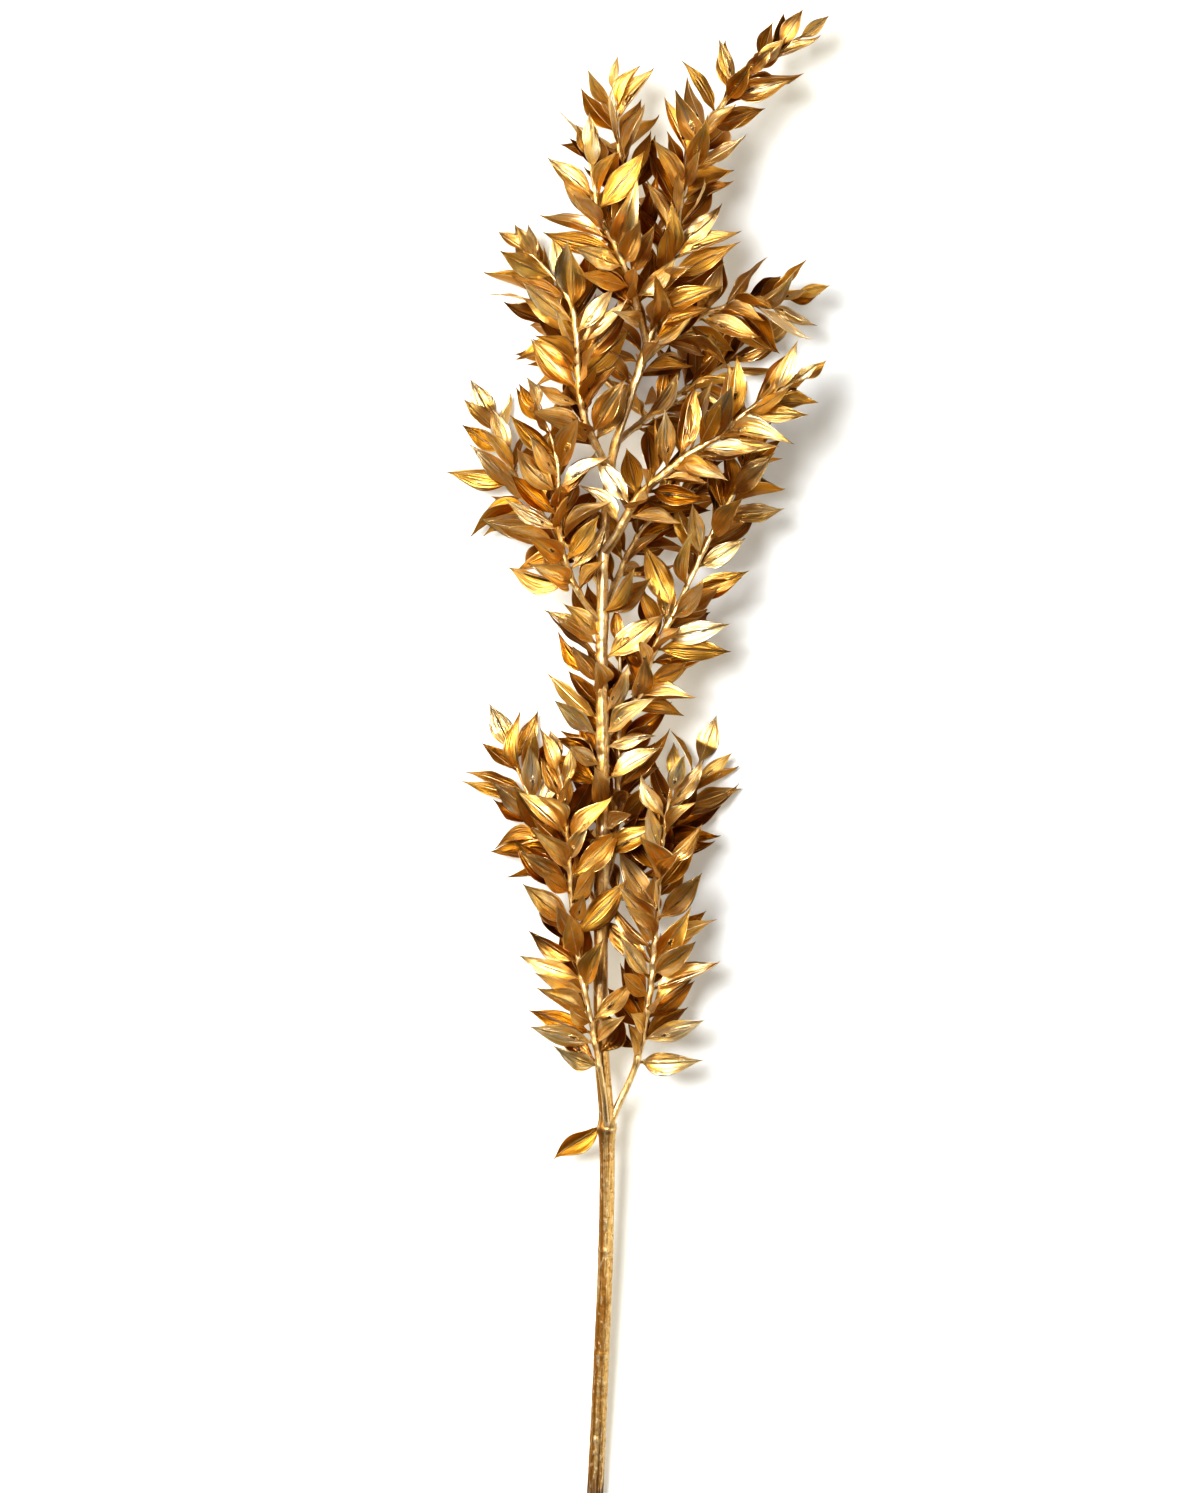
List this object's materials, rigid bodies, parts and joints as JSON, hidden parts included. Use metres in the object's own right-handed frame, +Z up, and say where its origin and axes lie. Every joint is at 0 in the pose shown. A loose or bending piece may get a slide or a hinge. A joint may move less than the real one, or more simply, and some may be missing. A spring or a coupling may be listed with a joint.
{
  "type": "dried ruscus stem",
  "caption": "Dried ruscus stem painted gold: a ridged main stem with leafy side shoots of stiff, pointed cladodes, cut at its foot and laid on a surface.",
  "frame": {"origin": "centre of the outline at the level of the surface that the stem lies on", "axes": "+Y towards the stem's tip, +X across it to the right as seen from above, +Z up from the surface"},
  "size_m": [0.1669, 0.6982, 0.0941],
  "materials": {
    "gold_bark": "dried stem under a thin coat of satin gold paint, ridged lengthwise",
    "gold_blade": "dried cladodes and twigs under a thin coat of gold paint, glossy in places, finely veined"
  },
  "bodies": {
    "root": {"main_stem": "gold_bark", "shoot_right_fork": "gold_blade", "shoot_left_front": "gold_blade", "shoot_left_top": "gold_blade", "shoot_centre_top": "gold_blade", "shoot_right_long": "gold_blade", "shoot_left_low": "gold_blade", "shoot_right_low": "gold_blade", "shoot_right_top": "gold_blade", "shoot_inner_top": "gold_blade", "shoot_right_inner": "gold_blade", "shoot_behind": "gold_blade", "shoot_left_back_low": "gold_blade", "shoot_right_back_low": "gold_blade", "shoot_left_back": "gold_blade", "shoot_right_back": "gold_blade", "shoot_left_back_top": "gold_blade"}
  },
  "joints": []
}
